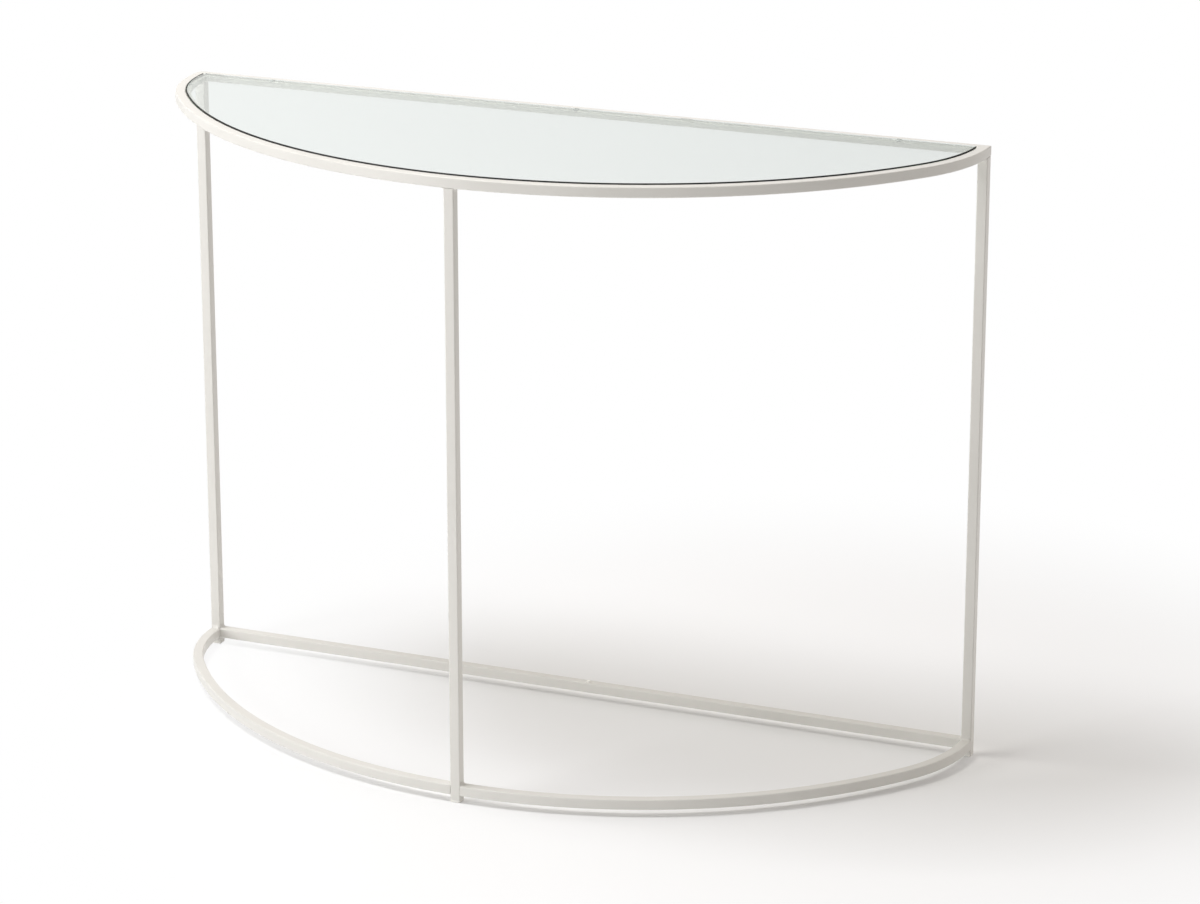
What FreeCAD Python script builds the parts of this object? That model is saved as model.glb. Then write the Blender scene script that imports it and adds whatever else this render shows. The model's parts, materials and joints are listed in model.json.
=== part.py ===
import FreeCAD, Part
import math
import os

# A half-moon console table: a welded frame of square steel tube with a drop-in glass top.
# Millimetres. Z is up from the floor, X runs along the straight back, and the curved front
# faces -Y. The origin is on the floor, under the middle of the table's box.

# Overall sizes
table_width = 1040.0
table_depth = 385.0
frame_height = 762.0        # floor to the top face of the frame
end_radius = 205.0          # plan radius of the curve beside each back leg, at the outer face

# Square steel tube of the rings and the legs
tube = 12.7
tube_wall = 1.2
tube_corner = 1.5           # outer corner radius of the tube
least_corner = 0.2          # inner corner radius of a thick-walled tube
ring_clearance = 9.0        # floor to the underside of the base ring

# Square bar welded inside the top ring, level with its underside, for the glass to rest on
ledge = 6.35
ledge_corner = 0.5
ledge_end_gap = 0.2         # between the end of the back bar and the curved bar

# Glass plate
glass_thickness = 6.0
glass_corner = 3.0          # plan radius of the two back corners
glass_arris = 0.5           # ground chamfer along every edge
glass_back_clearance = 0.5  # to the back rail

# Thin rubber bead along the top of the glass's curved edge
trim_wall = 0.8
trim_height = 1.6
trim_rise = 0.25            # how far the bead stands above the glass
trim_corner = 0.2
trim_clearance = 0.3        # to the top arc
trim_slack = 0.05           # to the glass's edge

# Clear bumpers under the glass: a row on the back ledge, and one at the middle of each arc
cushion = 1.5               # height of a bumper
bumper_count = 3            # on the back ledge
bumper_margin = 0.3         # from a bumper to the edge of the ledge
bumper_inset = 90.0         # from the end of the ledge to the first bumper

# Push-in glides under the legs
glide_head = 3.0
glide_edge = 0.8            # chamfer round the sole
glide_stem = 14.0
glide_clearance = 0.1       # between a fin and the leg's inner wall
fin_depth = 1.6
fin_thickness = 1.4
fin_count = 3

# Domed plug in the hanging hole of the base back rail
plug_hole = 5.0
plug_head = 7.0
plug_dome = 2.2
plug_stem = 3.5
plug_clearance = 0.1
plug_offset = 13.0          # right of the rail's middle

# Places worked out from the sizes
half_width = table_width / 2
back = table_depth / 2
front = -table_depth / 2
springing = back - tube     # where the straight ends of the curve start, at the back rail's inner face
ring_under = frame_height - tube
base_top = ring_clearance + tube
ledge_top = ring_under + ledge
glass_under = ledge_top + cushion
trim_inset = tube + trim_clearance
glass_inset = trim_inset + trim_wall + trim_slack
glass_back = springing - glass_back_clearance
trim_end = glass_back - glass_corner

# The curve in plan is a three-centred arch: two end arcs and one wide front arc, tangent to
# each other. front_radius follows from the width, the rise and the end radius.
rise = springing - front
end_centre_x = half_width - end_radius
front_radius = (end_centre_x ** 2 + rise ** 2 - end_radius ** 2) / (2 * (rise - end_radius))
front_centre_y = front + front_radius
end_sweep = math.degrees(math.atan2(front_centre_y - springing, end_centre_x))
front_sweep = 180.0 - 2 * end_sweep

# (centre, radius at the outer face, start angle, sweep), from the right end round to the left
arch_arcs = [
    (FreeCAD.Vector(end_centre_x, springing, 0), end_radius, 0.0, -end_sweep),
    (FreeCAD.Vector(0, front_centre_y, 0), front_radius, -end_sweep, -front_sweep),
    (FreeCAD.Vector(-end_centre_x, springing, 0), end_radius, -end_sweep - front_sweep, -end_sweep),
]

up = FreeCAD.Vector(0, 0, 1)
origin = FreeCAD.Vector(0, 0, 0)


def rounded_face(x0, z0, x1, z1, radius):
    """A rectangle with round corners, standing in the XZ plane."""
    bend = radius * (1 - math.sqrt(0.5))
    corners = [(x0, z0, 1, 1), (x1, z0, -1, 1), (x1, z1, -1, -1), (x0, z1, 1, -1)]
    edges = []
    last = None
    for turn, (x, z, sx, sz) in enumerate(corners):
        along_x = FreeCAD.Vector(x + sx * radius, 0, z)
        along_z = FreeCAD.Vector(x, 0, z + sz * radius)
        middle = FreeCAD.Vector(x + sx * bend, 0, z + sz * bend)
        enter, leave = (along_z, along_x) if turn % 2 == 0 else (along_x, along_z)
        if last is None:
            first = enter
        else:
            edges.append(Part.LineSegment(last, enter).toShape())
        edges.append(Part.Arc(enter, middle, leave).toShape())
        last = leave
    edges.append(Part.LineSegment(last, first).toShape())
    return Part.Face(Part.Wire(edges))


def tube_face(x0, z0):
    """The tube's hollow section, with its low outer corner at x0, z0."""
    x1 = x0 + tube
    z1 = z0 + tube
    bore_corner = max(tube_corner - tube_wall, least_corner)
    outer = rounded_face(x0, z0, x1, z1, tube_corner)
    bore = rounded_face(x0 + tube_wall, z0 + tube_wall, x1 - tube_wall, z1 - tube_wall, bore_corner)
    return outer.cut(bore)


def straight_x(section, x0, x1):
    """A section standing in the XZ plane, laid along X: its X becomes Y, measured from the back."""
    bar = section.copy()
    bar.rotate(origin, up, 90)
    bar.translate(FreeCAD.Vector(x0, back, 0))
    return bar.extrude(FreeCAD.Vector(x1 - x0, 0, 0))


def bent(section):
    """A section carried round the whole arch. Its X is 0 at the outer face and negative inwards."""
    pieces = []
    for centre, radius, start, sweep in arch_arcs:
        face = section.copy()
        face.translate(FreeCAD.Vector(radius, 0, 0))
        face.rotate(origin, up, start)
        face.translate(centre)
        pieces.append(face.revolve(centre, up, sweep))
    return pieces[0].multiFuse(pieces[1:]).removeSplitter()


def arch_plate(inset, back_y, z0, thickness):
    """A flat plate with the arch's outline, moved in by inset and cut straight at back_y."""
    edges = []
    for centre, radius, start, sweep in arch_arcs:
        circle = Part.Circle(centre, up, radius - inset)
        edges.append(circle.toShape(math.radians(start + sweep), math.radians(start)))
    right = FreeCAD.Vector(half_width - inset, springing, 0)
    left = FreeCAD.Vector(-half_width + inset, springing, 0)
    edges.append(Part.LineSegment(left, right).toShape())
    face = Part.Face(Part.Wire(Part.sortEdges(edges)[0]))
    plate = face.extrude(FreeCAD.Vector(0, 0, thickness))
    plate.translate(FreeCAD.Vector(0, 0, z0))
    keep = Part.makeBox(table_width, back_y - front, thickness, FreeCAD.Vector(-half_width, front, z0))
    return plate.common(keep)


def square_prism(size, corner, z0, z1):
    """An upright square bar with round corners, centred on the Z axis."""
    half = size / 2
    face = rounded_face(-half, -half, half, half, corner)
    face.rotate(origin, FreeCAD.Vector(1, 0, 0), -90)
    prism = face.extrude(FreeCAD.Vector(0, 0, z1 - z0))
    prism.translate(FreeCAD.Vector(0, 0, z0))
    return prism


def wedge(corners, z0, height):
    """An upright block with a plan outline of straight edges."""
    points = [FreeCAD.Vector(x, y, z0) for x, y in corners]
    return Part.Face(Part.makePolygon(points + points[:1])).extrude(FreeCAD.Vector(0, 0, height))


def mitre_side(side):
    """The room behind the mitre at one back corner, where the back rail lies."""
    reach = 2 * tube
    outer = (side * (half_width + reach), back + reach)
    inner = (side * (half_width - tube - reach), springing - reach)
    return wedge([outer, inner, (0, springing - reach), (0, back + reach)], ring_under, tube)


def top_front_arc():
    """The bent tube of the top ring, with a straight end at each back corner, cut at 45 degrees."""
    section = tube_face(-tube, ring_under)
    ends = []
    for side in (1, -1):
        end = section.copy()
        if side < 0:
            end.rotate(origin, up, 180)
        end.translate(FreeCAD.Vector(side * half_width, springing, 0))
        end = end.extrude(FreeCAD.Vector(0, tube, 0))
        ends.append(end.cut(mitre_side(side)))
    return bent(section).multiFuse(ends).removeSplitter()


def top_back_rail():
    """The straight tube along the back of the top ring, cut at 45 degrees at both ends."""
    rail = straight_x(tube_face(-tube, ring_under), -half_width, half_width)
    right = rail.common(mitre_side(1))
    left = rail.common(mitre_side(-1))
    return right.fuse(left).removeSplitter()


def leg(x, y):
    """An upright tube from the head of its glide to the underside of the top ring."""
    outer = square_prism(tube, tube_corner, glide_head, ring_under)
    bore_corner = max(tube_corner - tube_wall, least_corner)
    bore = square_prism(tube - 2 * tube_wall, bore_corner, glide_head, ring_under)
    post = outer.cut(bore)
    post.translate(FreeCAD.Vector(x, y, 0))
    return post


def base_arc(side):
    """One bent tube of the base ring, from a back leg's front face to the front leg's side face."""
    whole = bent(tube_face(-tube, ring_clearance))
    x0 = tube / 2 if side > 0 else -half_width
    room = Part.makeBox(half_width - tube / 2, table_depth, tube, FreeCAD.Vector(x0, front, ring_clearance))
    return whole.common(room)


def base_back_rail():
    """The straight tube between the back legs, with the hole that the frame hung from for painting."""
    rail = straight_x(tube_face(-tube, ring_clearance), -half_width + tube, half_width - tube)
    hole = Part.makeCylinder(plug_hole / 2, tube / 2, plug_place(base_top - tube / 2))
    return rail.cut(hole)


def plug_place(z):
    """A point on the axis of the hanging hole."""
    return FreeCAD.Vector(plug_offset, back - tube / 2, z)


def rail_hole_plug():
    """The domed plug that closes the hanging hole, with a snap ring under the tube's wall."""
    head_radius = plug_head / 2
    ball = (head_radius ** 2 + plug_dome ** 2) / (2 * plug_dome)
    dome = Part.makeSphere(ball, plug_place(base_top + plug_dome - ball))
    above = Part.makeCylinder(head_radius, plug_dome, plug_place(base_top))
    stem = Part.makeCylinder(plug_hole / 2 - plug_clearance, plug_stem, plug_place(base_top - plug_stem))
    snap_height = plug_stem - tube_wall - plug_clearance
    snap_small = plug_hole / 2 - plug_clearance
    snap_large = plug_hole / 2 + plug_clearance
    snap = Part.makeCone(snap_small, snap_large, snap_height, plug_place(base_top - plug_stem))
    return dome.common(above).fuse(stem).fuse(snap).removeSplitter()


def foot_glide(x, y):
    """A push-in glide: a sole as large as the leg, and a finned stem inside it."""
    head = square_prism(tube, tube_corner, 0, glide_head)
    sole = [edge for edge in head.Edges if edge.BoundBox.ZMax < glide_head / 2]
    head = head.makeChamfer(glide_edge, sole)
    fin_size = tube - 2 * tube_wall - 2 * glide_clearance
    core_size = fin_size - 2 * fin_depth
    stem_end = glide_head + glide_stem
    shape = head.fuse(square_prism(core_size, least_corner, glide_head, stem_end))
    pitch = (glide_stem - fin_thickness) / fin_count
    for fin in range(1, fin_count + 1):
        top = glide_head + fin * pitch + fin_thickness
        shape = shape.fuse(square_prism(fin_size, least_corner, top - fin_thickness, top))
    shape = shape.removeSplitter()
    shape.translate(FreeCAD.Vector(x, y, 0))
    return shape


def arc_glass_ledge():
    """The bent bar inside the top arc, from one end of the back rail's inner face to the other."""
    return bent(rounded_face(-tube - ledge, ring_under, -tube, ledge_top, ledge_corner))


def back_ledge_end():
    """The X of the back bar's end, clear of the curved bar beside it."""
    inner_radius = end_radius - tube - ledge
    reach = math.sqrt(inner_radius ** 2 - ledge ** 2)
    return end_centre_x + reach - ledge_end_gap


def back_glass_ledge():
    """The straight bar along the inner face of the back rail."""
    section = rounded_face(-tube - ledge, ring_under, -tube, ledge_top, ledge_corner)
    return straight_x(section, -back_ledge_end(), back_ledge_end())


def glass_top():
    """The glass plate: the arch's outline with round back corners and ground edges."""
    plate = arch_plate(glass_inset, glass_back, glass_under, glass_thickness)
    corner_edges = [
        edge for edge in plate.Edges
        if edge.BoundBox.ZLength > glass_thickness / 2 and edge.BoundBox.YMin > trim_end
    ]
    plate = plate.makeFillet(glass_corner, corner_edges)
    rim = [edge for edge in plate.Edges if edge.BoundBox.ZLength < glass_arris]
    return plate.makeChamfer(glass_arris, rim)


def glass_edge_trim():
    """The rubber bead on the curved edge, between the glass and the top arc."""
    outer = -trim_inset
    top = glass_under + glass_thickness + trim_rise
    low = top - trim_height
    bead = bent(rounded_face(outer - trim_wall, low, outer, top, trim_corner))
    room = Part.makeBox(table_width, trim_end - front, trim_height, FreeCAD.Vector(-half_width, front, low))
    return bead.common(room)


def glass_bumpers():
    """The clear dots on the ledges: an even row along the back, and one at the middle of each arc."""
    radius = ledge / 2 - bumper_margin
    y = springing - ledge / 2
    first = -back_ledge_end() + bumper_inset
    spacing = -2 * first / (bumper_count - 1)
    places = [FreeCAD.Vector(first + index * spacing, y, ledge_top) for index in range(bumper_count)]
    for centre, arc_radius, start, sweep in arch_arcs:
        reach = FreeCAD.Vector(arc_radius - tube - ledge / 2, 0, ledge_top)
        turn = FreeCAD.Rotation(up, start + sweep / 2)
        places.append(centre + turn.multVec(reach))
    return Part.makeCompound([Part.makeCylinder(radius, cushion, place) for place in places])


leg_x = half_width - tube / 2
back_leg_y = back - tube / 2
front_leg_y = front + tube / 2

nodes = {
    "top_front_arc": top_front_arc(),
    "top_back_rail": top_back_rail(),
    "left_leg": leg(-leg_x, back_leg_y),
    "right_leg": leg(leg_x, back_leg_y),
    "front_leg": leg(0, front_leg_y),
    "base_left_arc": base_arc(-1),
    "base_right_arc": base_arc(1),
    "base_back_rail": base_back_rail(),
    "rail_hole_plug": rail_hole_plug(),
    "left_foot_glide": foot_glide(-leg_x, back_leg_y),
    "right_foot_glide": foot_glide(leg_x, back_leg_y),
    "front_foot_glide": foot_glide(0, front_leg_y),
    "arc_glass_ledge": arc_glass_ledge(),
    "back_glass_ledge": back_glass_ledge(),
    "glass_bumpers": glass_bumpers(),
    "glass_top": glass_top(),
    "glass_edge_trim": glass_edge_trim(),
}

os.makedirs("parts", exist_ok=True)
for name, shape in nodes.items():
    box = shape.BoundBox
    print(name, "solids", len(shape.Solids), "valid", shape.isValid(), "volume", round(shape.Volume, 1),
          "x", round(box.XMin, 2), round(box.XMax, 2), "y", round(box.YMin, 2), round(box.YMax, 2),
          "z", round(box.ZMin, 2), round(box.ZMax, 2))
    shape.exportStep("parts/" + name + ".step")
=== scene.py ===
# %% [markdown]
# # A half-moon console table
#
# The real table is a welded frame of slim square steel tube, powder-coated off-white, with a
# loose glass plate lying in its top ring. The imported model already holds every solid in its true
# place: tubes, ledges, glass, trim, glides and plug. So this lesson keeps those meshes, gives
# them finishes and light, and models only what the welder left on the frame.

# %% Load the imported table
import json
import math

import bmesh
import bpy
from mathutils import Matrix, Vector


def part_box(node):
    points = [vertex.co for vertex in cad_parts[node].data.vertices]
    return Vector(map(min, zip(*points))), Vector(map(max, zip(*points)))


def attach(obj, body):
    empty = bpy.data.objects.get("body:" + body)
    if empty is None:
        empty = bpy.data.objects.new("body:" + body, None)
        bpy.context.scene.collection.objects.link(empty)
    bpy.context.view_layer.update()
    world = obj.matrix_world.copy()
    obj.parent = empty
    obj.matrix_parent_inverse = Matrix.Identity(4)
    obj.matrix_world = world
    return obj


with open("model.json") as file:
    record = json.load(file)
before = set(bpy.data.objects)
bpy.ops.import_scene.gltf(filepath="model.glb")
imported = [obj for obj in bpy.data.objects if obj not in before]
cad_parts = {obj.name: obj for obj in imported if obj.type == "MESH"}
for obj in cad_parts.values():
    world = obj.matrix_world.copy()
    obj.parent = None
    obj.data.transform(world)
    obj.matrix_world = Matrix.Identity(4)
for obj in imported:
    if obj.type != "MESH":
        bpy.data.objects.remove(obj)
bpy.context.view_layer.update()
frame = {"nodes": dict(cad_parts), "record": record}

print("nodes:", sorted(frame["nodes"]))

# %% [markdown]
# ## The camera
#
# A camera is a place, a direction and a lens. All three were worked out by laying the table's
# known edges over the photograph: the eye stands to the right of the table's middle, well
# above its top, and looks down along a long lens, which keeps the legs nearly parallel. A long
# lens from far away is also what a furniture photographer would choose.

# %% Place the camera
EYE = Vector((1.9142, -4.3372, 1.8975))
TURN = 0.3950           # radians to the left of straight ahead
TILT = 0.3099           # radians below the horizon
FOCAL_PIXELS = 4151.9   # focal length in pixels of a picture 1200 wide
PICTURE_WIDTH = 1200
PICTURE_HEIGHT = 904
SENSOR_WIDTH = 36       # millimetres, as in a full-frame camera

camera = bpy.data.objects.new("camera", bpy.data.cameras.new("camera"))
camera.location = EYE
camera.rotation_euler = (math.pi / 2 - TILT, 0, TURN)
camera.data.sensor_width = SENSOR_WIDTH
camera.data.lens = FOCAL_PIXELS * SENSOR_WIDTH / PICTURE_WIDTH
bpy.context.scene.collection.objects.link(camera)
bpy.context.scene.camera = camera
bpy.context.view_layer.update()
print("lens:", round(camera.data.lens, 1), "mm")

# %% [markdown]
# To know that the camera is right without waiting for a render, ask where a known point of the
# table falls in the picture. The inverse of the camera's matrix puts the point in front of the
# lens, and one division by its distance gives the pixel.

# %% Measure where one corner of the table falls
def pixel_of(point):
    """The pixel of the 1200 by 904 picture where a point of the scene falls."""
    seen = camera.matrix_world.inverted() @ Vector(point)
    x = PICTURE_WIDTH / 2 - FOCAL_PIXELS * seen.x / seen.z
    y = PICTURE_HEIGHT / 2 + FOCAL_PIXELS * seen.y / seen.z
    return round(x, 1), round(y, 1)


rail_low, rail_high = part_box("top_back_rail")
print("right back corner of the top:", pixel_of(rail_high))

# %% [markdown]
# ## Colours and nodes
#
# Colours are picked as the sRGB hex values that a screen shows, but shaders count in linear
# light, so one function turns the first into the second. A second function adds a node: its
# settings go on the node itself, and each input takes either a value or a link from another
# node's output. A Mix node has inputs of its own for every kind of value that it can mix, so
# the numbers of its two colours, and of the colour that comes out, get names here.

# %% Helpers for every finish
MM = 0.001
COLOUR_A, COLOUR_B, MIXED_COLOUR = 6, 7, 2


def linear(hex_colour):
    """An sRGB hex colour as the linear colour that a shader's socket takes."""
    parts = [int(hex_colour[start:start + 2], 16) / 255 for start in (1, 3, 5)]
    return [p / 12.92 if p <= 0.04045 else ((p + 0.055) / 1.055) ** 2.4 for p in parts] + [1.0]


def add_node(tree, kind, inputs=None, **settings):
    """Adds a node with its settings, and fills its inputs with values or with links."""
    node = tree.nodes.new(kind)
    for name, setting in settings.items():
        setattr(node, name, setting)
    for key, value in (inputs or {}).items():
        if isinstance(value, bpy.types.NodeSocket):
            tree.links.new(value, node.inputs[key])
        else:
            node.inputs[key].default_value = value
    return node


def empty_finish(name):
    """A material with nothing in its node tree yet."""
    material = bpy.data.materials.new(name)
    material.use_nodes = True
    material.node_tree.nodes.clear()
    return material


finishes = {}           # the record's material slot -> the material made for it
print("one millimetre is", MM, "of the scene's units")

# %% [markdown]
# ## Powder coat on the steel frame
#
# The tubes are mild steel, sprayed with dry polyester powder that melts in an oven. What the eye
# gets from that is an even satin off-white that hides the metal, faint orange peel where the film
# didn't quite level, and a tone and gloss that drift a little over a hand's breadth. It could be
# one flat colour, but then the highlights along the tubes would be ruler-straight, as they never
# are on a sprayed tube. Two noises do it: a wide one for tone and gloss, and a fine one for the
# peel's bump. Real orange peel is 1 to 2 mm wide. It is drawn at 4 mm here, because a picture of
# the whole table can't show anything finer.

# %% Satin polyester powder coat
PEEL_SIZE = 4 * MM
DRIFT_SIZE = 70 * MM

powder_coat = empty_finish("satin_polyester_powder_coat")
tree = powder_coat.node_tree
place = add_node(tree, "ShaderNodeTexCoord").outputs["Object"]
drift = add_node(tree, "ShaderNodeTexNoise", {
    "Vector": place, "Scale": 1 / DRIFT_SIZE, "Detail": 3.0})
peel = add_node(tree, "ShaderNodeTexNoise", {
    "Vector": place, "Scale": 1 / PEEL_SIZE, "Detail": 1.0})
tone = add_node(tree, "ShaderNodeMix", {
    0: drift.outputs[0], COLOUR_A: linear("#DFDDD7"), COLOUR_B: linear("#E5E3DE")},
    data_type="RGBA")
gloss = add_node(tree, "ShaderNodeMapRange", {
    "Value": drift.outputs[0], "To Min": 0.34, "To Max": 0.48})
skin = add_node(tree, "ShaderNodeBump", {
    "Strength": 0.35, "Distance": 0.05 * MM, "Height": peel.outputs[0]})
coat = add_node(tree, "ShaderNodeBsdfPrincipled", {
    "Base Color": tone.outputs[MIXED_COLOUR], "Roughness": gloss.outputs[0],
    "Normal": skin.outputs[0], "IOR": 1.5})
add_node(tree, "ShaderNodeOutputMaterial", {"Surface": coat.outputs[0]})
finishes["frame_paint"] = powder_coat
print("made", powder_coat.name)

# %% [markdown]
# ## Float glass
#
# The top is a plate of clear float glass with ground edges. Float glass has an index of 1.52,
# is as flat as still water apart from a very slow roller wave, and carries a trace of iron, which
# is why it looks faintly green, and much greener when seen through its edge. Tinting the surface
# would give the same green everywhere, so the green is put inside the plate as an absorbing
# volume: the longer the way through the glass, the deeper the tint.

# %% Clear float glass
WAVE_SIZE = 140 * MM

float_glass = empty_finish("clear_float_glass")
tree = float_glass.node_tree
place = add_node(tree, "ShaderNodeTexCoord").outputs["Object"]
wave = add_node(tree, "ShaderNodeTexNoise", {
    "Vector": place, "Scale": 1 / WAVE_SIZE, "Detail": 0.0})
flow = add_node(tree, "ShaderNodeBump", {
    "Strength": 0.1, "Distance": 0.1 * MM, "Height": wave.outputs[0]})
plate = add_node(tree, "ShaderNodeBsdfPrincipled", {
    "Base Color": linear("#FFFFFF"), "Roughness": 0.0, "IOR": 1.52, "Transmission Weight": 1.0,
    "Normal": flow.outputs[0]})
iron = add_node(tree, "ShaderNodeVolumeAbsorption", {
    "Color": linear("#C0D4C8"), "Density": 34.0})
print("made the plate and the green in it")

# %% [markdown]
# Refraction is for looking. Light on its way from a lamp, or from one matt surface to another,
# would come through a refracting plate as bright grain or not at all, so those rays get a
# Transparent shader and pass straight. Its tint is a drawing choice: nearly clear for the steel
# right under the plate, and deeper for light that goes on to the floor, because the shadow on
# the real floor is deeper than a clean plate alone would cast. Ray Length tells the two apart.

# %% The pale shadow of the glass
UNDER_THE_PLATE = 50 * MM
ON_THE_FLOOR = 400 * MM

ray = add_node(tree, "ShaderNodeLightPath")
depth = add_node(tree, "ShaderNodeMapRange", {
    "Value": ray.outputs["Ray Length"], "From Min": UNDER_THE_PLATE, "From Max": ON_THE_FLOOR})
shade = add_node(tree, "ShaderNodeMix", {
    0: depth.outputs[0], COLOUR_A: linear("#FAFAF9"), COLOUR_B: linear("#DAD8D6")},
    data_type="RGBA")
pale_shadow = add_node(tree, "ShaderNodeBsdfTransparent", {"Color": shade.outputs[MIXED_COLOUR]})
calm = add_node(tree, "ShaderNodeMixShader", {
    0: ray.outputs["Is Diffuse Ray"], 1: plate.outputs[0], 2: pale_shadow.outputs[0]})
pane = add_node(tree, "ShaderNodeMixShader", {
    0: ray.outputs["Is Shadow Ray"], 1: calm.outputs[0], 2: pale_shadow.outputs[0]})
add_node(tree, "ShaderNodeOutputMaterial", {
    "Surface": pane.outputs[0], "Volume": iron.outputs[0]})
finishes["clear_glass"] = float_glass
print("made", float_glass.name)

# %% [markdown]
# ## Rubber trim
#
# The thin black line round the glass is a bead of extruded EPDM, stuck along the top of the
# plate's curved edge, where it closes the gap to the steel. Rubber is matt and a little dusty:
# extruding leaves fine drag lines, and a pale bloom comes out of it in patches. The bead is a
# hair line in the picture, so the patches matter more than the lines, but both are cheap. Drag
# lines are a fraction of a millimetre apart, and are drawn at 1 mm so that they show.

# %% Extruded EPDM rubber
BLOOM_SIZE = 15 * MM
DRAG_SIZE = 1 * MM

rubber = empty_finish("extruded_epdm_rubber")
tree = rubber.node_tree
place = add_node(tree, "ShaderNodeTexCoord").outputs["Object"]
bloom = add_node(tree, "ShaderNodeTexNoise", {
    "Vector": place, "Scale": 1 / BLOOM_SIZE, "Detail": 4.0})
drag = add_node(tree, "ShaderNodeTexNoise", {
    "Vector": place, "Scale": 1 / DRAG_SIZE, "Detail": 1.0})
black = add_node(tree, "ShaderNodeMix", {
    0: bloom.outputs[0], COLOUR_A: linear("#0E0E0E"), COLOUR_B: linear("#1C1C1C")},
    data_type="RGBA")
dusty = add_node(tree, "ShaderNodeMapRange", {
    "Value": bloom.outputs[0], "To Min": 0.6, "To Max": 0.85})
skin = add_node(tree, "ShaderNodeBump", {
    "Strength": 0.4, "Distance": 0.05 * MM, "Height": drag.outputs[0]})
strip = add_node(tree, "ShaderNodeBsdfPrincipled", {
    "Base Color": black.outputs[MIXED_COLOUR], "Roughness": dusty.outputs[0],
    "Normal": skin.outputs[0], "IOR": 1.52})
add_node(tree, "ShaderNodeOutputMaterial", {"Surface": strip.outputs[0]})
finishes["black_rubber"] = rubber
print("made", rubber.name)

# %% [markdown]
# ## Clear bumpers
#
# The glass doesn't lie on bare paint. Small dots, die-cut from a soft polyurethane sheet, keep it
# off both ledges. They let light in but are duller than the glass, because the sheet's skin is
# satin, and milky inside, so that they all but vanish against the white steel. A partial, rough
# transmission gives that, and the noise makes some patches cloudier than others.

# %% Clear soft polyurethane
CLOUD_SIZE = 2 * MM

polyurethane = empty_finish("clear_soft_polyurethane")
tree = polyurethane.node_tree
place = add_node(tree, "ShaderNodeTexCoord").outputs["Object"]
cloud = add_node(tree, "ShaderNodeTexNoise", {
    "Vector": place, "Scale": 1 / CLOUD_SIZE, "Detail": 2.0})
satin = add_node(tree, "ShaderNodeMapRange", {
    "Value": cloud.outputs[0], "To Min": 0.18, "To Max": 0.4})
milk = add_node(tree, "ShaderNodeMix", {
    0: cloud.outputs[0], COLOUR_A: linear("#F3F5F4"), COLOUR_B: linear("#E6EAE8")},
    data_type="RGBA")
dot = add_node(tree, "ShaderNodeBsdfPrincipled", {
    "Base Color": milk.outputs[MIXED_COLOUR], "Roughness": satin.outputs[0], "IOR": 1.49,
    "Transmission Weight": 0.35})
add_node(tree, "ShaderNodeOutputMaterial", {"Surface": dot.outputs[0]})
finishes["clear_bumper"] = polyurethane
print("made", polyurethane.name)

# %% [markdown]
# ## Moulded nylon
#
# The glides under the legs and the plug in the base rail are injection-moulded nylon, a shade
# creamier than the paint. Nylon lets light in a little way before it comes out again, which
# softens its shading, so it gets some subsurface. The mould was spark-eroded, which leaves
# an even grain of about a quarter of a millimetre, drawn at 0.8 mm so that it can be seen.

# %% Injection-moulded nylon
GRAIN_SIZE = 0.8 * MM

nylon = empty_finish("injection_moulded_nylon")
tree = nylon.node_tree
place = add_node(tree, "ShaderNodeTexCoord").outputs["Object"]
grain = add_node(tree, "ShaderNodeTexNoise", {
    "Vector": place, "Scale": 1 / GRAIN_SIZE, "Detail": 2.0})
cream = add_node(tree, "ShaderNodeMix", {
    0: grain.outputs[0], COLOUR_A: linear("#EDEBE4"), COLOUR_B: linear("#F3F1EB")},
    data_type="RGBA")
dull = add_node(tree, "ShaderNodeMapRange", {
    "Value": grain.outputs[0], "To Min": 0.42, "To Max": 0.6})
skin = add_node(tree, "ShaderNodeBump", {
    "Strength": 0.3, "Distance": 0.05 * MM, "Height": grain.outputs[0]})
moulding = add_node(tree, "ShaderNodeBsdfPrincipled", {
    "Base Color": cream.outputs[MIXED_COLOUR], "Roughness": dull.outputs[0],
    "Normal": skin.outputs[0], "IOR": 1.53, "Subsurface Weight": 0.15,
    "Subsurface Radius": (1.0, 0.9, 0.8), "Subsurface Scale": 1 * MM})
add_node(tree, "ShaderNodeOutputMaterial", {"Surface": moulding.outputs[0]})
finishes["white_nylon"] = nylon
print("made", nylon.name)

# %% [markdown]
# ## Dress the solids
#
# The record says which slot each solid takes its finish from, so a loop over it is safer than a
# list typed again here: a solid can't be forgotten.

# %% Give each solid its finish
for subpart in frame["record"]["subparts"]:
    solid = frame["nodes"][subpart["node"]]
    for material_slot in solid.material_slots:
        material_slot.material = finishes[subpart["material_slot"]]

# %% [markdown]
# ## Weld fillets
#
# Where one tube ends against another, the welder lays a short bead in the corner. It is about
# 4 mm on each side, hollow like a cove, slightly rippled, and painted over with the rest. The
# solids meet in sharp corners, so the beads are added here. One bead starts as a single vertex:
# spinning it a quarter turn draws the hollow, three more close the outline inside the metal, and a
# second spin, with no angle but a push sideways, carries the outline along the corner in steps.

# %% Carry an outline along a seam
BEAD_STEPS = 14
RIPPLE_COUNT = 8
RIPPLE = 0.05             # how much the steps of a bead swell and shrink
END_SIZE = 0.5            # how thick a bead is at its very ends
END_GROWTH = 8            # how fast it grows from there to its full size
BEAD_LEG = 4.2 * MM       # how far a bead climbs each face
BEAD_ROOT = 0.4 * MM      # how deep its root sits in the metal
HOLLOW_STEPS = 6
SEAM = 10 * MM            # the flat of a tube, between its round corners


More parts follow.
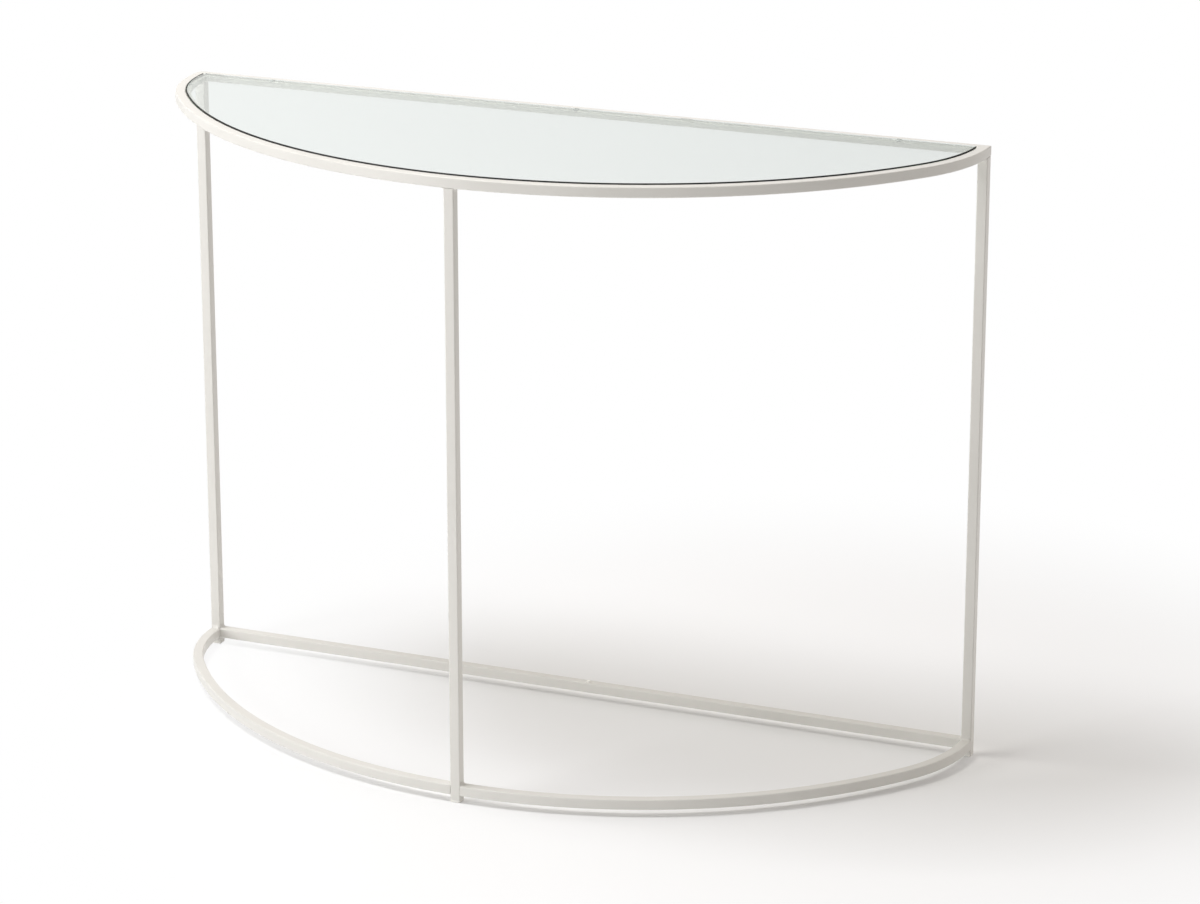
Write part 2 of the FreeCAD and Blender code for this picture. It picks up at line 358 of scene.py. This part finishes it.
def lay_bead(bead, length):
    """Closes the outline of a bead, carries it along Z in steps, ripples it and fades its ends."""
    outline = bmesh.ops.contextual_create(bead, geom=bead.edges[:])["faces"]
    bmesh.ops.spin(bead, geom=outline, dvec=(0, 0, length / BEAD_STEPS), axis=(0, 0, 1), angle=0,
                   steps=BEAD_STEPS)
    for vert in bead.verts:
        along = vert.co.z / length
        swell = 1 + RIPPLE * math.sin(RIPPLE_COUNT * math.tau * along)
        vert.co.xy = vert.co.xy * swell * min(1, END_SIZE + END_GROWTH * min(along, 1 - along))
    bmesh.ops.translate(bead, verts=bead.verts[:], vec=(0, 0, -length / 2))
    return bead


def corner_bead(length):
    """A hollow bead in the corner between X and Y."""
    bead = bmesh.new()
    toe = bead.verts.new((BEAD_LEG, 0, 0))
    hollow = bmesh.ops.spin(bead, geom=[toe], cent=(BEAD_LEG, BEAD_LEG, 0), axis=(0, 0, 1),
                            angle=-math.pi / 2, steps=HOLLOW_STEPS)
    ring = [hollow["geom_last"][0]]
    for x, y in ((-BEAD_ROOT, BEAD_LEG), (-BEAD_ROOT, -BEAD_ROOT), (BEAD_LEG, -BEAD_ROOT)):
        ring.append(bead.verts.new((x, y, 0)))
    for near, far in zip(ring, ring[1:] + [toe]):
        bead.edges.new((near, far))
    return lay_bead(bead, length)


trial = corner_bead(SEAM)
open_edges = sum(not edge.is_manifold for edge in trial.edges)
print("one bead:", len(trial.verts), "vertices,", open_edges, "open edges")
trial.free()

# %% [markdown]
# Each leg is welded on two sides, at the top to the underside of the ring, and at the bottom to
# the top of the base ring. So two short loops find all twelve corners from the solids' own boxes.
# A matrix whose columns are the two faces' directions and the seam's turns a bead into its corner.

# %% Find the corners and fill them
LEFT, RIGHT, FRONT = Vector((-1, 0, 0)), Vector((1, 0, 0)), Vector((0, -1, 0))
UP, DOWN = Vector((0, 0, 1)), Vector((0, 0, -1))
RING_UNDER = rail_low.z
BASE_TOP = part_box("base_back_rail")[1].z
WELDED_SIDES = {"left_leg": (RIGHT, FRONT), "right_leg": (LEFT, FRONT), "front_leg": (LEFT, RIGHT)}


def join(whole, bead, point, x_axis, y_axis):
    """Adds a bead to the mesh of all beads, with its own X and Y turned to the given directions."""
    turn = Matrix((x_axis, y_axis, x_axis.cross(y_axis))).transposed().to_4x4()
    bmesh.ops.transform(bead, matrix=Matrix.Translation(point) @ turn, verts=bead.verts[:])
    part = bpy.data.meshes.new("bead")
    bead.to_mesh(part)
    whole.from_mesh(part)
    bpy.data.meshes.remove(part)
    bead.free()


fillets = bmesh.new()
for leg, sides in WELDED_SIDES.items():
    low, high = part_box(leg)
    for side in sides:
        face = (low + high) / 2 + side * (high.x - low.x) / 2
        for level, facing in ((RING_UNDER, DOWN), (BASE_TOP, UP)):
            join(fillets, corner_bead(SEAM), Vector((face.x, face.y, level)), side, facing)
print("beads in corners:", len(fillets.verts), "vertices")

# %% [markdown]
# ## Stitch welds under the glass ledges
#
# The bars that the glass rests on are held to the tubes by short stitches of weld on the
# underside, in the groove between the two round edges. A stitch is a low rounded ridge, so its
# outline is a shallow arc, spun from one vertex, with a point that reaches up into the groove.

# %% Make one stitch
STITCH_WIDTH = 3.4 * MM
STITCH_HEIGHT = 0.7 * MM
STITCH_LENGTH = 18 * MM
RIDGE_STEPS = 8


def stitch_bead(length):
    """A low ridge across X, standing on +Y, along Z."""
    curve = (STITCH_WIDTH ** 2 / 4 + STITCH_HEIGHT ** 2) / (2 * STITCH_HEIGHT)
    half_turn = math.asin(STITCH_WIDTH / 2 / curve)
    bead = bmesh.new()
    edge = bead.verts.new((STITCH_WIDTH / 2, 0, 0))
    ridge = bmesh.ops.spin(bead, geom=[edge], cent=(0, STITCH_HEIGHT - curve, 0), axis=(0, 0, 1),
                           angle=2 * half_turn, steps=RIDGE_STEPS)
    root = bead.verts.new((0, -STITCH_HEIGHT, 0))
    bead.edges.new((ridge["geom_last"][0], root))
    bead.edges.new((root, edge))
    return lay_bead(bead, length)


trial = stitch_bead(STITCH_LENGTH)
open_edges = sum(not edge.is_manifold for edge in trial.edges)
print("one stitch:", len(trial.verts), "vertices,", open_edges, "open edges")
trial.free()

# %% [markdown]
# The back ledge is straight, and the front one follows a three-centred arch: a wide arc in
# front that runs into a tighter arc at each end. The tight radius is the only number needed;
# the wide one follows from the width and the depth of the ring.

# %% Lay the stitches along both ledges
END_RADIUS = 205 * MM
STITCH_GAP = 105 * MM
BACK_STITCHES = 4         # on each side of the middle one
ARC_STITCHES = 3          # the same, along the wide arc

ring_low, ring_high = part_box("top_front_arc")
tube = rail_high.z - rail_low.z
rise = rail_low.y - ring_low.y
end_x = ring_high.x - END_RADIUS
wide = (end_x ** 2 + rise ** 2 - END_RADIUS ** 2) / (2 * (rise - END_RADIUS))
stitches = bmesh.new()
for count in range(-BACK_STITCHES, BACK_STITCHES + 1):
    back_point = Vector((count * STITCH_GAP, rail_low.y, RING_UNDER))
    join(stitches, stitch_bead(STITCH_LENGTH), back_point, FRONT, DOWN)
for count in range(-ARC_STITCHES, ARC_STITCHES + 1):
    angle = count * STITCH_GAP / wide
    inward = Vector((-math.sin(angle), math.cos(angle), 0))
    arc_point = Vector((0, ring_low.y + wide, RING_UNDER)) - inward * (wide - tube)
    join(stitches, stitch_bead(STITCH_LENGTH), arc_point, inward, DOWN)
print("wide arc:", round(wide / MM, 1), "mm;", len(stitches.verts), "vertices of stitches")

# %% [markdown]
# The beads were turned into place by matrices, so their normals are worked out again after
# doubles are merged. Then they become two objects at the origin that ride on the frame, in
# the same powder coat as the tubes, because the whole frame was welded before it was sprayed.

# %% Put the welds on the frame
SAME_PLACE = 0.001 * MM   # vertices closer than this are one


def put_on_frame(shape, name):
    """Closes a bmesh, makes it a smooth, painted object, and lets it ride on the frame."""
    bmesh.ops.remove_doubles(shape, verts=shape.verts[:], dist=SAME_PLACE)
    bmesh.ops.recalc_face_normals(shape, faces=shape.faces[:])
    for face in shape.faces:
        face.smooth = True
    piece = bpy.data.objects.new(name, bpy.data.meshes.new(name))
    shape.to_mesh(piece.data)
    shape.free()
    piece.data.materials.append(powder_coat)
    bpy.context.scene.collection.objects.link(piece)
    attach(piece, "frame")
    return piece


for shape, name in ((fillets, "leg_weld_fillets"), (stitches, "ledge_stitch_welds")):
    piece = put_on_frame(shape, name)
    print(name, len(piece.data.polygons), "faces")

# %% [markdown]
# ## The studio
#
# The table stands on a wide sheet of matt white paper. Close to the table the paper is plainly
# lit, so it shows the table's soft shadow. Further off the photographer's paper burns out to
# pure white. More light would do that, but it would burn out the pale frame too. So the paper
# and the room are white only when they are looked at, by rays that come from the camera, a
# reflection or the glass, and light the table at their own plain level.

# %% Tell looking from lighting
NONE_YET = 0.5            # a count of bounces below this is none


def looked_at(tree):
    """1 for a ray from the camera, straight, mirrored or through glass, and 0 for light."""
    ray = add_node(tree, "ShaderNodeLightPath").outputs
    seen = add_node(tree, "ShaderNodeMath", {
        0: ray["Is Camera Ray"], 1: ray["Is Glossy Ray"]}, operation="MAXIMUM")
    through = add_node(tree, "ShaderNodeMath", {
        0: seen.outputs[0], 1: ray["Is Transmission Ray"]}, operation="MAXIMUM")
    first = add_node(tree, "ShaderNodeMath", {
        0: ray["Diffuse Depth"], 1: NONE_YET}, operation="LESS_THAN")
    return add_node(tree, "ShaderNodeMath", {
        0: through.outputs[0], 1: first.outputs[0]}, operation="MULTIPLY").outputs[0]


print("white is for rays that haven't yet left a matt surface")

# %% [markdown]
# The paper reaches far past the picture, so no edge of it shows. Its white begins at a distance
# from the middle of the shadow, behind the table and to the right, and comes in slowly: the
# whole shadow stays, and only the plain paper round it fades.

# %% Lay the paper
SHADOW_MIDDLE = (0.3, 0.2, 0)
PLAIN_RADIUS = 0.35       # the paper is plainly lit out to here, in metres
WHITE_RADIUS = 0.95       # and pure white from here on
PAPER_HALF_WIDTH = 15

paper = empty_finish("matt_white_paper")
tree = paper.node_tree
place = add_node(tree, "ShaderNodeTexCoord").outputs["Object"]
away = add_node(tree, "ShaderNodeVectorMath", {0: place, 1: SHADOW_MIDDLE}, operation="DISTANCE")
fade = add_node(tree, "ShaderNodeMapRange", {
    "Value": away.outputs["Value"], "From Min": PLAIN_RADIUS, "From Max": WHITE_RADIUS},
    interpolation_type="SMOOTHSTEP")
burnt = add_node(tree, "ShaderNodeMath", {
    0: looked_at(tree), 1: fade.outputs[0]}, operation="MULTIPLY")
matt = add_node(tree, "ShaderNodeBsdfDiffuse", {"Color": linear("#FAFBFC")})
white = add_node(tree, "ShaderNodeEmission", {"Color": linear("#FFFFFF"), "Strength": 1.0})
sheet = add_node(tree, "ShaderNodeMixShader", {
    0: burnt.outputs[0], 1: matt.outputs[0], 2: white.outputs[0]})
add_node(tree, "ShaderNodeOutputMaterial", {"Surface": sheet.outputs[0]})

ground = bmesh.new()
bmesh.ops.create_grid(ground, x_segments=1, y_segments=1, size=PAPER_HALF_WIDTH)
floor = bpy.data.objects.new("paper_floor", bpy.data.meshes.new("paper_floor"))
ground.to_mesh(floor.data)
ground.free()
floor.data.materials.append(paper)
bpy.context.scene.collection.objects.link(floor)
print("paper:", round(floor.dimensions.x), "m wide")

# %% [markdown]
# Two soft boxes light the table. One hangs high on the left, a little in front: it lights the
# tops and puts the shadow to the right and behind. The other stands low in front on the left and
# lifts the upright faces that look its way. Faces that look right get little of either, and fall
# away to a warm grey. The glass already lets the lamps' light through as its pale shadow, so the
# lamps are hidden from refracted rays, which would bring the same light a second time.

# %% Hang two soft boxes
LAMPS_AIM = Vector((0.1, 0, 0.35))


def hang_soft_box(name, size, energy, location):
    """A square lamp that looks at the middle of the table."""
    lamp = bpy.data.objects.new(name, bpy.data.lights.new(name, "AREA"))
    lamp.data.shape = "SQUARE"
    lamp.data.size = size
    lamp.data.energy = energy
    lamp.location = location
    lamp.rotation_euler = (LAMPS_AIM - lamp.location).to_track_quat("-Z", "Y").to_euler()
    lamp.visible_transmission = False
    bpy.context.scene.collection.objects.link(lamp)
    print(name, energy, "W at", location)


hang_soft_box("high_soft_box", size=1.1, energy=78, location=(-1.15, -0.55, 3.75))
hang_soft_box("low_soft_box", size=1.2, energy=51, location=(-2.2, -2.75, 0.9))

# %% [markdown]
# The rest of the light comes from the room. Its walls glow behind and above the table and are dim
# on the camera's side, as in a studio with a white wall and a dark end, so the upright faces
# keep their tone against the white paper. A ray's direction, measured along one leaning vector,
# sets how bright the wall is there.

# %% Let the room glow
BRIGHT_SIDE = (0.2, 0.5, 0.35)
LEVEL_BESIDE = 0.27       # how bright the walls are at right angles to the bright side

room = bpy.data.worlds.new("white_room")
room.use_nodes = True
tree = room.node_tree
tree.nodes.clear()
direction = add_node(tree, "ShaderNodeTexCoord").outputs["Generated"]
lean = add_node(tree, "ShaderNodeVectorMath", {
    0: direction, 1: BRIGHT_SIDE}, operation="DOT_PRODUCT")
level = add_node(tree, "ShaderNodeMath", {
    0: lean.outputs["Value"], 1: LEVEL_BESIDE}, operation="ADD", use_clamp=True)
glow = add_node(tree, "ShaderNodeBackground", {
    "Color": linear("#FFF9F4"), "Strength": level.outputs[0]})
print("walls at a level of", LEVEL_BESIDE, "on the sides")

# %% [markdown]
# That glow is for lighting. Looked at, the room is plain white. Only a mirror shows more of it:
# glass seen at a low angle reflects about a third of what lies beyond it, and here it mirrors a
# corner behind on the right that gets less light. That is why the real top turns slightly darker
# from left to right, so mirrored rays find a duller white towards that corner.

# %% Paint the room white for looking
DULL_CORNER = (0.7, 0.7, 0.1)
DULL_BEGINS = 0.3         # how far a ray leans to that corner where the white starts to sink
DULL_FULL = 0.54          # and where it is at its dullest
DULL_LEVEL = 0.58
NUMBER_A, NUMBER_B = 2, 3   # the Mix node's inputs for two plain numbers

towards = add_node(tree, "ShaderNodeVectorMath", {
    0: direction, 1: DULL_CORNER}, operation="DOT_PRODUCT")
sunk = add_node(tree, "ShaderNodeMapRange", {
    "Value": towards.outputs["Value"], "From Min": DULL_BEGINS, "From Max": DULL_FULL,
    "To Min": 1.0, "To Max": DULL_LEVEL})
mirrored = add_node(tree, "ShaderNodeLightPath").outputs["Is Glossy Ray"]
shine = add_node(tree, "ShaderNodeMix", {
    0: mirrored, NUMBER_A: 1.0, NUMBER_B: sunk.outputs[0]}, data_type="FLOAT")
white = add_node(tree, "ShaderNodeBackground", {
    "Color": linear("#FFFFFF"), "Strength": shine.outputs[0]})
walls = add_node(tree, "ShaderNodeMixShader", {
    0: looked_at(tree), 1: glow.outputs[0], 2: white.outputs[0]})
add_node(tree, "ShaderNodeOutputWorld", {"Surface": walls.outputs[0]})
bpy.context.scene.world = room
bpy.context.scene.view_settings.view_transform = "Standard"
print("white to look at, and down to", DULL_LEVEL, "in a mirror")
